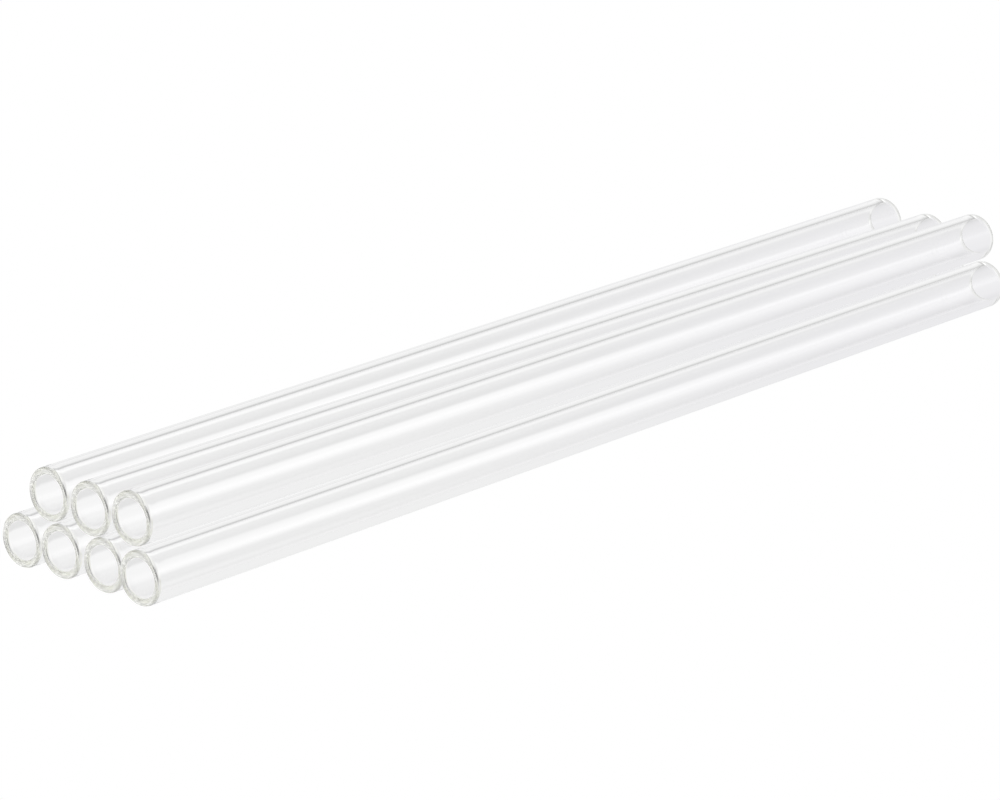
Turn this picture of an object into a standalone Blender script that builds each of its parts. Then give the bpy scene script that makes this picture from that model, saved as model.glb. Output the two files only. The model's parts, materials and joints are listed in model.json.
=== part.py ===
"""A bundle of seven plain glass tubes, open at both ends, with fire-polished rims.

Four tubes lie side by side in a bottom row, and three rest in the grooves between them.
The two tubes at the front touch along their whole length, and so do the two at the back.
The gap between those two pairs opens towards the far ends, so the middle top tube sinks into it.

+X runs along the front pair, from the near ends to the far ends. +Y runs across the row,
from the front tube to the back tube, and +Z is up. The origin is the centre of the bundle's
outer box, on the surface that the bottom row lies on. Tube 1 of each row is the back one.
"""

import math

import bmesh
import bpy
from mathutils import Matrix, Vector

# The tube, in metres.
TUBE_LENGTH = 0.300
TUBE_OUTER_DIAMETER = 0.012
TUBE_WALL = 0.0015
RIM_ROUNDING = 0.0005  # radius of the fire-polished edges, which leave a flat ring between them

# How the tubes lie.
CONTACT_GAP = 0.0003  # between tubes that touch
PAIR_GAP_NEAR = 0.0020  # between the front pair and the back pair, at the near ends
PAIR_GAP_FAR = 0.0056  # and at the far ends
BOTTOM_SETBACKS = (0.0025, 0.0024, 0.0014, 0.0)  # how far each near end lies behind the front tube's
TOP_SETBACKS = (0.0054, 0.0049, 0.0043)

# The mesh.
SIDES = 36  # flats face the table and the neighbouring tubes
ROUNDING_STEPS = 2  # flats in each rounded edge

GLASS_COLOUR = (0.93, 0.95, 0.94, 1.0)
GLASS_ROUGHNESS = 0.03
GLASS_REFRACTION = 1.47

OUTER_RADIUS = TUBE_OUTER_DIAMETER / 2
BORE_RADIUS = OUTER_RADIUS - TUBE_WALL
TUBE_PITCH = TUBE_OUTER_DIAMETER + CONTACT_GAP  # between the axes of tubes that touch


def clear_scene():
    """Remove whatever the scene holds."""
    for old in list(bpy.data.objects):
        bpy.data.objects.remove(old, do_unlink=True)


def clear_glass():
    """Colourless borosilicate glass."""
    material = bpy.data.materials.new("clear_glass")
    material.use_nodes = True
    shader = material.node_tree.nodes["Principled BSDF"]
    shader.inputs["Base Color"].default_value = GLASS_COLOUR
    shader.inputs["Roughness"].default_value = GLASS_ROUGHNESS
    shader.inputs["Metallic"].default_value = 0.0
    shader.inputs["IOR"].default_value = GLASS_REFRACTION
    shader.inputs["Transmission Weight"].default_value = 1.0
    return material


def rounded_corner(along, radius, first_angle):
    """Points of one rounded edge: a quarter circle about (along, radius)."""
    points = []
    for step in range(ROUNDING_STEPS + 1):
        angle = first_angle + math.radians(90) * step / ROUNDING_STEPS
        points.append((along + RIM_ROUNDING * math.cos(angle), radius + RIM_ROUNDING * math.sin(angle)))
    return points


def wall_section():
    """The wall cut lengthwise: (distance along the tube, radius), round the section once."""
    near, far = RIM_ROUNDING, TUBE_LENGTH - RIM_ROUNDING
    outer, inner = OUTER_RADIUS - RIM_ROUNDING, BORE_RADIUS + RIM_ROUNDING
    return (
        rounded_corner(far, outer, math.radians(0))
        + rounded_corner(near, outer, math.radians(90))
        + rounded_corner(near, inner, math.radians(180))
        + rounded_corner(far, inner, math.radians(270))
    )


def tube_mesh():
    """One tube along +X, with its near end at the origin and its flats at the true radii."""
    mesh = bpy.data.meshes.new("plain_tube")
    shape = bmesh.new()
    half_side = math.pi / SIDES
    to_corner = 1 / math.cos(half_side)
    edge_of_flat = Matrix.Rotation(half_side, 3, "X")
    ring = [
        shape.verts.new(edge_of_flat @ Vector((along, 0, radius * to_corner)))
        for along, radius in wall_section()
    ]
    edges = [shape.edges.new((ring[i - 1], ring[i])) for i in range(len(ring))]
    bmesh.ops.spin(
        shape, geom=ring + edges, cent=(0, 0, 0), axis=(1, 0, 0),
        angle=math.tau, steps=SIDES, use_merge=True,
    )
    bmesh.ops.recalc_face_normals(shape, faces=shape.faces)
    shape.to_mesh(mesh)
    shape.free()
    mesh.shade_smooth()
    mesh.set_sharp_from_angle(angle=math.radians(30))
    return mesh


def bottom_axes():
    """Near and far points of the four bottom tubes' axes, back tube first."""
    height = OUTER_RADIUS
    spread = PAIR_GAP_FAR - PAIR_GAP_NEAR
    # The back pair is turned, so its tubes sit a little further apart across the row.
    back_pitch = TUBE_PITCH * math.hypot(1, spread / TUBE_LENGTH)
    front = 0.0
    front_inner = front + TUBE_PITCH
    axes = []
    for extra in (back_pitch, 0.0):
        near = front_inner + TUBE_OUTER_DIAMETER + PAIR_GAP_NEAR + extra
        axes.append((Vector((0, near, height)), Vector((TUBE_LENGTH, near + spread, height))))
    for across in (front_inner, front):
        axes.append((Vector((0, across, height)), Vector((TUBE_LENGTH, across, height))))
    return axes


def groove_point(back, front):
    """Centre of a tube resting on two others, given their centres at the same place along them."""
    half_spacing = (back - front).length / 2
    rise = math.sqrt(TUBE_PITCH**2 - half_spacing**2)
    return (back + front) / 2 + Vector((0, 0, rise))


def top_axes():
    """Near and far points of the three top tubes' axes, each in the groove of two bottom tubes."""
    row = bottom_axes()
    return [
        (groove_point(back[0], front[0]), groove_point(back[1], front[1]))
        for back, front in zip(row, row[1:])
    ]


def place_tube(name, mesh, axis, setback):
    """Lay a tube along its axis line, with its origin at its near end."""
    near, far = axis
    direction = (far - near).normalized()
    across = Vector((0, 0, 1)).cross(direction).normalized()
    up = direction.cross(across)
    tube = bpy.data.objects.new(name, mesh)
    tube.rotation_euler = Matrix((direction, across, up)).transposed().to_euler()
    tube.location = near + direction * setback
    bpy.context.scene.collection.objects.link(tube)
    return tube


def centre_bundle(tubes):
    """Move the whole bundle so that the origin is the bottom centre of its outer box."""
    bpy.context.view_layer.update()
    corners = [tube.matrix_world @ vertex.co for tube in tubes for vertex in tube.data.vertices]
    low = Vector([min(corner[i] for corner in corners) for i in range(3)])
    high = Vector([max(corner[i] for corner in corners) for i in range(3)])
    base = Vector(((low.x + high.x) / 2, (low.y + high.y) / 2, low.z))
    for tube in tubes:
        tube.location -= base


def main():
    clear_scene()
    mesh = tube_mesh()
    mesh.materials.append(clear_glass())
    tubes = []
    for row, axes, setbacks in (
        ("bottom", bottom_axes(), BOTTOM_SETBACKS),
        ("top", top_axes(), TOP_SETBACKS),
    ):
        for number, (axis, setback) in enumerate(zip(axes, setbacks), start=1):
            tubes.append(place_tube(f"{row}_tube_{number}", mesh, axis, setback))
    centre_bundle(tubes)


main()
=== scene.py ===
"""Looks for a bundle of seven clear glass tubes, lying in two rows on a white floor.

Each tube is drawn borosilicate glass, turned here as one smooth wall with fire-polished rims, and
stands for the faceted tube of the frame that it takes its place and size from.
"""

import json
import math

import bmesh
import bpy
from bpy.props import FloatProperty, FloatVectorProperty, IntProperty, PointerProperty
from mathutils import Matrix, Vector


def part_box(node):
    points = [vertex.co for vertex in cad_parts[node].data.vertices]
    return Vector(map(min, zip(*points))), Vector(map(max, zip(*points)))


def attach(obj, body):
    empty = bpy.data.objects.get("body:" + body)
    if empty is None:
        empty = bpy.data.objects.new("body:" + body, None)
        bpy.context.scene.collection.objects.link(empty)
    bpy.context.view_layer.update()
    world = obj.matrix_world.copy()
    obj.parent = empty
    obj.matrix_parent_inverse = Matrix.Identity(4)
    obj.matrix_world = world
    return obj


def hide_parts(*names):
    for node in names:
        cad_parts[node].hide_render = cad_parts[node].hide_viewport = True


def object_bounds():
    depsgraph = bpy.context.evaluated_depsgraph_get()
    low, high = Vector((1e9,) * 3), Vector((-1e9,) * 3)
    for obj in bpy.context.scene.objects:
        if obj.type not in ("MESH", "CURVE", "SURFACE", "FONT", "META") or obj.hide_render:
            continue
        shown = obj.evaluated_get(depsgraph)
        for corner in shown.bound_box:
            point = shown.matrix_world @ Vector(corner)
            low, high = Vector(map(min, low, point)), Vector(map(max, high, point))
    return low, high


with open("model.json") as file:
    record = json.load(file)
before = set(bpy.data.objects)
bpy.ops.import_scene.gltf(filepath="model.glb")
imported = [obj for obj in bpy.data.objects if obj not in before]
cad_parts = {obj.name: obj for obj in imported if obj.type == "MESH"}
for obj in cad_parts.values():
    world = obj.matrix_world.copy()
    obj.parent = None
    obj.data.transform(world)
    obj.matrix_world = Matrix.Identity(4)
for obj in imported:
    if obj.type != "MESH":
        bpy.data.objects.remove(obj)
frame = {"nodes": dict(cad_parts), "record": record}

bl_info = {
    "name": "Glass tube bundle",
    "version": (1, 0, 0),
    "blender": (4, 5, 0),
    "location": "View3D > Sidebar > Tubes",
    "description": "Builds smooth glass tubes in place of the frame's, and the stage that they lie on",
    "category": "Add Mesh",
}

FRAME_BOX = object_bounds()
NODES = frame["nodes"]
MOUNTS = {mount["name"]: mount for mount in frame["record"]["mounts"]}
BODY_OF = {node: body for body, nodes in frame["record"]["behaviour"]["bodies"].items() for node in nodes}


def node_axis(node):
    """Near and far centre of a frame tube's ends, read from its mesh and its rim's direction."""
    direction = Vector(MOUNTS[f"{node}_far_rim"]["axis"]).normalized()
    points = [vertex.co for vertex in NODES[node].data.vertices]
    middle = sum(points, Vector()) / len(points)
    reach = max((point - middle).dot(direction) for point in points)
    return middle - direction * reach, middle + direction * reach


def corner_radius(node):
    """Radius of a frame tube's outside, at its corners."""
    near, far = node_axis(node)
    direction = (far - near).normalized()
    spread = []
    for vertex in NODES[node].data.vertices:
        across = vertex.co - near
        spread.append((across - direction * across.dot(direction)).length)
    return max(spread)


# Sides of a tube in the frame.
FRAME_SIDES = 36

# Brightness of the studio by height in degrees over the horizon: behind the tubes, on the camera's
# side, and beyond the far ends, where the room is darker.
BACK_LIGHT = (
    (-90, 0.6), (-68, 0.7), (-52, 0.88), (-27, 0.865), (-22.5, 0.785), (-20.3, 0.82), (-19, 0.88),
    (-17.7, 0.935), (-14.2, 0.93), (-12.8, 0.76), (-5, 0.75), (-1, 0.95), (11, 0.98), (18, 0.91),
    (26.7, 0.53), (31.3, 0.51), (35.4, 0.68), (38.9, 0.93), (43.5, 1.32), (46, 1.38),
)
FRONT_LIGHT = (
    (-90, 0.6), (-68, 0.7), (-52, 0.88), (-29, 0.77), (-13.8, 0.73), (-7, 0.81), (-2.8, 0.86), (6, 0.93),
    (10, 1.1), (13.8, 1.35), (29, 1.34), (37.2, 1.03), (40.4, 1.07), (44, 1.35), (46, 1.38),
)
END_LIGHT = ((-30, 0.5), (-15, 0.1), (15, 0.02), (30, 0.3), (46, 1.38))

# Where one kind of light turns into the next, as a part of a direction's length. X runs along the
# tubes to their far ends, Y to the back and Z up.
BACK_SPAN = (-0.1, 0.1)
END_SPAN = (0.89, 0.97)

# Behind the far ends the low light is flatter and a little cooler.
FAR_SPAN, FAR_HEIGHT = (0.69, 0.79), (-0.15, 0.0)
FAR_SHARE, FAR_COLOUR = 0.5, (0.795, 0.788, 0.822)

# Light that crosses the tubes more squarely is dimmer, and the same from both sides.
LENGTHWAYS, SIDE_LEVEL = (0.3, 0.55), 0.86
BRIGHTEST = 2.0

# Light that enters a rim is led down the wall of the tube, and turns back over a hundred times.
LIGHT_BOUNCES = 240
CLEAR_BOUNCES = 64

# The rims' streaks run out from the axis, and the draw lines run along the tube.
STREAK_SCALE, STREAK_EDGE = (1600.0, 350.0, 350.0), (0.35, 0.65)
DRAW_SCALE, DRAW_DEPTH, DRAW_STRENGTH = (4.0, 900.0, 900.0), 0.00001, 0.25
HAZE_SCALE, HAZE = 60.0, 0.01

# The far rims are melted less than the near ones and show less of the tint.
FAR_LIP_PART, FAR_TINT = 6, 0.25
# Cuts near each end, in lip lengths, that keep the long faces clear of the rims.
END_CUTS = (2, 3)
# Slack for telling which edges lie in one plane across the tube.
SAME = 1e-6


class Value:
    """A shader socket that can be used in sums."""

    def __init__(self, tree, socket):
        self.tree, self.socket = tree, socket

    def maths(self, operation, *others):
        return self.tree.node("ShaderNodeMath", {"operation": operation}, [self, *others])[0]

    def __add__(self, other):
        return self.maths("ADD", other)

    def __sub__(self, other):
        return self.maths("SUBTRACT", other)

    def __rsub__(self, other):
        return self.tree.node("ShaderNodeMath", {"operation": "SUBTRACT"}, [other, self])[0]

    def __mul__(self, other):
        return self.maths("MULTIPLY", other)

    def __truediv__(self, other):
        return self.maths("DIVIDE", other)

    def __pow__(self, other):
        return self.maths("POWER", other)

    __radd__, __rmul__ = __add__, __mul__


class Tree:
    """A node tree that new nodes are added to."""

    def __init__(self, owner):
        owner.use_nodes = True
        self.nodes, self.links = owner.node_tree.nodes, owner.node_tree.links

    def set_inputs(self, node, inputs):
        pairs = inputs.items() if isinstance(inputs, dict) else enumerate(inputs)
        for key, given in pairs:
            if isinstance(given, Value):
                self.links.new(given.socket, node.inputs[key])
            else:
                node.inputs[key].default_value = given

    def node(self, kind, settings=None, inputs=()):
        """Add a node, set it up, feed its sockets, and return its outputs."""
        made = self.nodes.new(kind)
        for name, setting in (settings or {}).items():
            if name == "stops":
                ramp = made.color_ramp.elements
                while len(ramp) < len(setting):
                    ramp.new(1.0)
                for element, (place, colour) in zip(ramp, setting):
                    element.position, element.color = place, colour
            else:
                setattr(made, name, setting)
        self.set_inputs(made, inputs)
        return [Value(self, socket) for socket in made.outputs]

    def mix(self, share, first, second):
        """One colour turning into another."""
        return self.node("ShaderNodeMix", {"data_type": "RGBA"}, {0: share, 6: first, 7: second})[2]

    def step(self, value, start, end):
        """A smooth step from 0 at one value to 1 at another."""
        return self.node("ShaderNodeMapRange", {"interpolation_type": "SMOOTHSTEP"}, [value, start, end])[0]


def clear_glass(sizes):
    """Clear drawn glass: faint lines along the draw, a trace of haze, and a warmer tint at the rims."""
    material = bpy.data.materials.new("clear_glass")
    tree = Tree(material)
    place = tree.node("ShaderNodeAttribute", {"attribute_name": "tube_place"})[1]
    end = tree.node("ShaderNodeAttribute", {"attribute_name": "tube_end"})[2]
    bore = tree.node("ShaderNodeAttribute", {"attribute_name": "tube_bore"})[2]
    along, across, up = tree.node("ShaderNodeSeparateXYZ", {}, [place])
    radius = (across * across + up * up) ** 0.5
    scaled = [part * scale for part, scale in zip((radius, across, up), STREAK_SCALE)]
    ring = tree.node("ShaderNodeCombineXYZ", {}, scaled)[0]
    streaks = tree.node("ShaderNodeTexNoise", {}, {"Vector": ring, "Scale": 1.0, "Detail": 2.0})[0]
    rim = tree.mix(tree.step(streaks, *STREAK_EDGE), (*sizes.rim_dark, 1.0), (*sizes.rim_colour, 1.0))
    drawn = tree.node("ShaderNodeMapping", {}, {"Vector": place, "Scale": DRAW_SCALE})[0]
    lines = tree.node("ShaderNodeTexNoise", {}, {"Vector": drawn, "Scale": 1.0, "Detail": 2.0})[0]
    haze = tree.node("ShaderNodeTexNoise", {}, {"Vector": place, "Scale": HAZE_SCALE, "Detail": 3.0})[0]
    shader = material.node_tree.nodes["Principled BSDF"]
    tree.set_inputs(shader, {
        "Base Color": tree.mix(end, (*sizes.glass_colour, 1.0), rim),
        "Roughness": haze * HAZE,
        "IOR": sizes.refraction,
        "Transmission Weight": 1.0,
        "Normal": tree.node("ShaderNodeBump", {}, {
            "Strength": DRAW_STRENGTH, "Distance": DRAW_DEPTH, "Height": lines})[0],
    })
    own_view(tree, material, shader, bore)
    return material


def own_view(tree, material, shader, bore):
    """Light that has left a tube goes straight past the others, so each tube shows as if it lay alone.

    It has left its tube when it meets the outside of a tube again, and from then on it meets no glass.
    """
    path, surface = [
        {output.socket.name: output for output in tree.node(kind)}
        for kind in ("ShaderNodeLightPath", "ShaderNodeNewGeometry")
    ]
    outside = (1.0 - surface["Backfacing"]) * (1.0 - bore.maths("GREATER_THAN", 0.5))
    again = path["Ray Depth"].maths("GREATER_THAN", 0.5) * outside
    past = path["Transparent Depth"].maths("GREATER_THAN", 0.5).maths("MAXIMUM", again)
    straight = tree.node("ShaderNodeBsdfTransparent")[0]
    mixed = tree.node("ShaderNodeMixShader", {}, [past, Value(tree, shader.outputs[0]), straight])[0]
    tree.set_inputs(material.node_tree.nodes["Material Output"], {"Surface": mixed})


def tube_shape(length, outer, bore, sizes):
    """A tube along +X from the origin: the wall's section is spun round and its rims are rounded."""
    shape = bmesh.new()
    run = sizes.lip_length
    section = [
        (0.0, outer), (length, outer), (length, bore - sizes.lip / FAR_LIP_PART),
        (length - run, bore), (run, bore), (0.0, bore - sizes.lip),
    ]
    corners = [shape.verts.new((along, 0.0, radius)) for along, radius in section]
    edges = [shape.edges.new((corners[i - 1], corners[i])) for i in range(len(corners))]
    bmesh.ops.spin(shape, geom=corners + edges, cent=(0, 0, 0), axis=(1, 0, 0),
                   angle=math.tau, steps=sizes.sides, use_merge=True)

    def rings(low, high):
        """Edges round the tube that lie between two distances from its nearer end."""
        return [
            edge for edge in shape.edges
            if abs(edge.verts[0].co.x - edge.verts[1].co.x) < SAME
            and abs(edge.verts[0].co.yz.length - edge.verts[1].co.yz.length) < SAME
            and low < min(edge.verts[0].co.x, length - edge.verts[0].co.x) < high
        ]

    for low, high, rounding in ((run / 2, 2 * run, run / 3), (-SAME, SAME, sizes.rim_rounding)):
        bmesh.ops.bevel(shape, geom=rings(low, high), offset=rounding, offset_type="OFFSET",
                        segments=sizes.rounding_steps, profile=0.5, affect="EDGES", material=-1,
                        clamp_overlap=False)
    near, far = END_CUTS
    for along in (near * run, far * run, length - far * run, length - near * run):
        bmesh.ops.bisect_plane(shape, geom=shape.verts[:] + shape.edges[:] + shape.faces[:],
                               plane_co=(along, 0, 0), plane_no=(1, 0, 0), dist=1e-7)
    bmesh.ops.recalc_face_normals(shape, faces=shape.faces[:])
    return shape


class TubeSizes(bpy.types.PropertyGroup):
    wall: FloatProperty(name="Wall", description="Thickness of the glass",
                        default=0.0015, min=0.0015, max=0.004, unit="LENGTH", precision=5)
    rim_rounding: FloatProperty(
        name="Rim rounding", description="Radius of the fire-polished edges of each rim",
        default=0.00072, min=0.0001, max=0.00074, unit="LENGTH", precision=5)
    lip: FloatProperty(name="Lip", description="How far the melted rim stands into the bore",
                       default=0.00018, min=0.0001, max=0.0008, unit="LENGTH", precision=5)
    lip_length: FloatProperty(name="Lip length", description="Length of the melted rim along the bore",
                              default=0.0018, min=0.001, max=0.004, unit="LENGTH", precision=5)
    sides: IntProperty(name="Sides", description="Faces around each tube", default=144, min=24, max=256)
    rounding_steps: IntProperty(name="Rim steps", description="Faces across each rounded edge",
                                default=8, min=2, max=16)
    refraction: FloatProperty(name="Refraction", description="Refractive index of the glass",
                              default=1.47, min=1.3, max=1.7)
    glass_colour: FloatVectorProperty(name="Glass", description="Colour of light through the glass",
                                      subtype="COLOR", default=(1.0, 1.0, 1.0), min=0, max=1)
    rim_colour: FloatVectorProperty(name="Rim", description="Colour of light led down the wall to a rim",
                                    subtype="COLOR", default=(1.0, 1.0, 0.965), min=0, max=1)
    rim_dark: FloatVectorProperty(name="Rim streaks", description="Colour of the dark streaks in a rim",
                                  subtype="COLOR", default=(0.87, 0.88, 0.75), min=0, max=1)


class StageSizes(bpy.types.PropertyGroup):
    sweep_radius: FloatProperty(name="Sweep radius", description="Radius of the white floor and dome",
                                default=12.0, unit="LENGTH")
    view_azimuth: FloatProperty(name="View azimuth", description="Turn of the camera's view from +X to +Y",
                                default=math.radians(41.91), subtype="ANGLE")
    view_elevation: FloatProperty(name="View elevation", description="Height of the camera above the aim",
                                  default=math.radians(15.96), subtype="ANGLE")
    view_roll: FloatProperty(name="View roll", description="Tilt of the camera about its view",
                             default=math.radians(-1.52), subtype="ANGLE")
    view_distance: FloatProperty(name="View distance", description="Distance of the camera from the aim",
                                 default=0.9846, unit="LENGTH")
    aim_right: FloatProperty(name="Aim right", description="Aim's place, right of the bundle's centre",
                             default=-0.01108, unit="LENGTH", precision=5)
    aim_up: FloatProperty(name="Aim up", description="Aim's place, up from the bundle's centre",
                          default=-0.00545, unit="LENGTH", precision=5)
    lens: FloatProperty(name="Lens", description="Focal length in millimetres", default=151.2)


class TUBES_OT_glass_tubes(bpy.types.Operator):
    """Turn one smooth glass tube in the place of each tube of the frame"""

    bl_idname = "tubes.glass_tubes"
    bl_label = "Glass tubes"

    def execute(self, context):
        sizes = context.scene.tube_sizes
        glass = clear_glass(sizes)
        for node in sorted(NODES):
            near, far = node_axis(node)
            low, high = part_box(node)
            # A tube that lies level is as high as its outside is wide.
            level = near.z == far.z
            outer = (high.z - low.z) / 2 if level else corner_radius(node) * math.cos(math.pi / FRAME_SIDES)
            self.turn(node, near, far, outer, sizes, glass)
        return {"FINISHED"}

    def turn(self, node, near, far, outer, sizes, glass):
        """Make one tube, mark its rims and bore for the glass, and lay it in its place."""
        reach, bore = (far - near).length, outer - sizes.wall
        shape = tube_shape(reach, outer, bore, sizes)
        mesh = bpy.data.meshes.new(f"{node}_glass")
        place = [vertex.co.copy() for vertex in shape.verts]
        rim = sizes.rim_rounding * 0.99
        marks = {
            "tube_end": [(at.x < rim) + FAR_TINT * (reach - at.x < rim) for at in place],
            "tube_bore": [at.yz.length < (outer + bore) / 2 for at in place],
        }
        direction = (far - near).normalized()
        across = Vector((0, 0, 1)).cross(direction).normalized()
        lie = Matrix((direction, across, direction.cross(across))).transposed().to_4x4()
        bmesh.ops.transform(shape, matrix=Matrix.Translation(near) @ lie, verts=shape.verts)
        shape.to_mesh(mesh)
        shape.free()
        stored = mesh.attributes.new("tube_place", "FLOAT_VECTOR", "POINT")
        stored.data.foreach_set("vector", [number for point in place for number in point])
        for name, values in marks.items():
            mark = mesh.attributes.new(name, "FLOAT", "POINT")
            mark.data.foreach_set("value", [float(value) for value in values])
        mesh.shade_smooth()
        mesh.materials.append(glass)
        piece = bpy.data.objects.new(f"{node}_glass", mesh)
        bpy.context.scene.collection.objects.link(piece)
        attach(piece, BODY_OF[node])
        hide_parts(node)


def view_frame(stage):
    """Camera place, and the directions right, up and forward of its view."""
    forward = Vector((
        math.cos(stage.view_elevation) * math.cos(stage.view_azimuth),
        math.cos(stage.view_elevation) * math.sin(stage.view_azimuth),
        -math.sin(stage.view_elevation),
    ))
    right = forward.cross(Vector((0, 0, 1))).normalized()
    up = right.cross(forward)
    aim = (FRAME_BOX[0] + FRAME_BOX[1]) / 2 + right * stage.aim_right + up * stage.aim_up
    rolled_right = right * math.cos(stage.view_roll) + up * math.sin(stage.view_roll)
    rolled_up = up * math.cos(stage.view_roll) - right * math.sin(stage.view_roll)
    return aim - forward * stage.view_distance, rolled_right, rolled_up, forward


class TUBES_OT_stage(bpy.types.Operator):
    """Make the white floor, the soft studio light and the camera"""

    bl_idname = "tubes.stage"
    bl_label = "Stage"

    def execute(self, context):
        stage = context.scene.stage_sizes
        self.sweep(stage)
        self.studio(context)
        self.camera(context, stage)
        context.scene.view_settings.view_transform = "Standard"
        for kind in ("max", "transmission", "glossy"):
            setattr(context.scene.cycles, f"{kind}_bounces", LIGHT_BOUNCES)
        context.scene.cycles.transparent_max_bounces = CLEAR_BOUNCES
        return {"FINISHED"}

    def sweep(self, stage):
        """White floor and dome, which only the camera sees."""
        shape = bmesh.new()
        bmesh.ops.create_uvsphere(shape, u_segments=64, v_segments=32, radius=stage.sweep_radius)
        everything = shape.verts[:] + shape.edges[:] + shape.faces[:]
        cut = bmesh.ops.bisect_plane(shape, geom=everything, plane_co=(0, 0, 0), plane_no=(0, 0, 1),
                                     clear_inner=True)
        rim = [part for part in cut["geom_cut"] if isinstance(part, bmesh.types.BMEdge)]
        bmesh.ops.contextual_create(shape, geom=rim)
        bmesh.ops.reverse_faces(shape, faces=shape.faces[:])
        mesh = bpy.data.meshes.new("white_sweep")
        shape.to_mesh(mesh)
        shape.free()
        white = bpy.data.materials.new("white_sweep")
        tree = Tree(white)
        tree.set_inputs(white.node_tree.nodes["Principled BSDF"], {
            "Base Color": (0.0, 0.0, 0.0, 1.0), "Roughness": 1.0, "Specular IOR Level": 0.0,
            "Emission Color": (1.0, 1.0, 1.0, 1.0), "Emission Strength": 1.0,
        })
        mesh.materials.append(white)
        sweep = bpy.data.objects.new("white_sweep", mesh)
        for kind in ("diffuse", "glossy", "transmission", "volume_scatter", "shadow"):
            setattr(sweep, f"visible_{kind}", False)
        bpy.context.scene.collection.objects.link(sweep)

    def studio(self, context):
        """Soft light whose brightness goes by its height and its direction."""
        world = bpy.data.worlds.new("soft_studio")
        tree = Tree(world)
        direction = tree.node("ShaderNodeTexCoord")[0]
        x, y, z = tree.node("ShaderNodeSeparateXYZ", {}, [direction])
        height = z.maths("ARCSINE") / math.pi + 0.5
        back, front, beyond = [
            tree.node("ShaderNodeValToRGB", {"stops": [
                (rise / 180 + 0.5, (*[level / BRIGHTEST] * 3, 1.0)) for rise, level in levels]}, [height])[0]
            for levels in (BACK_LIGHT, FRONT_LIGHT, END_LIGHT)
        ]
        lengthways = tree.step(x, *LENGTHWAYS)
        around = tree.mix(tree.step(y, *BACK_SPAN), tree.mix(lengthways, back, front), back)
        far = tree.step(x, *FAR_SPAN) * (1.0 - tree.step(z, *FAR_HEIGHT)) * FAR_SHARE
        flatter = tree.mix(far, around, (*[part / BRIGHTEST for part in FAR_COLOUR], 1.0))
        tree.set_inputs(world.node_tree.nodes["Background"], {
            "Color": tree.mix(tree.step(x, *END_SPAN), flatter, beyond),
            "Strength": (lengthways * (1.0 - SIDE_LEVEL) + SIDE_LEVEL) * BRIGHTEST,
        })
        context.scene.world = world

    def camera(self, context, stage):
        place, right, up, forward = view_frame(stage)
        lens = bpy.data.cameras.new("camera")
        lens.lens, lens.sensor_width = stage.lens, 36.0
        lens.clip_start, lens.clip_end = 0.01, 50.0
        camera = bpy.data.objects.new("camera", lens)
        camera.matrix_world = Matrix.Translation(place) @ Matrix((right, up, -forward)).transposed().to_4x4()
        context.scene.collection.objects.link(camera)
        context.scene.camera = camera


class TUBES_PT_panel(bpy.types.Panel):
    """Sizes and buttons for the tubes and their stage"""

    bl_label = "Glass tubes"
    bl_idname = "TUBES_PT_panel"
    bl_space_type = "VIEW_3D"
    bl_region_type = "UI"
    bl_category = "Tubes"

    def draw(self, context):
        for group, operator in (("tube_sizes", "tubes.glass_tubes"), ("stage_sizes", "tubes.stage")):
            box = self.layout.box()
            settings = getattr(context.scene, group)
            for name in settings.__annotations__:
                box.prop(settings, name)
            box.operator(operator)


CLASSES = (TubeSizes, StageSizes, TUBES_OT_glass_tubes, TUBES_OT_stage, TUBES_PT_panel)


def register():
    for made in CLASSES:
        bpy.utils.register_class(made)
    bpy.types.Scene.tube_sizes = PointerProperty(type=TubeSizes)
    bpy.types.Scene.stage_sizes = PointerProperty(type=StageSizes)


def unregister():
    del bpy.types.Scene.stage_sizes
    del bpy.types.Scene.tube_sizes
    for made in reversed(CLASSES):
        bpy.utils.unregister_class(made)


def main():
    register()
    bpy.ops.tubes.glass_tubes()
    bpy.ops.tubes.stage()


if __name__ == "__main__":
    main()
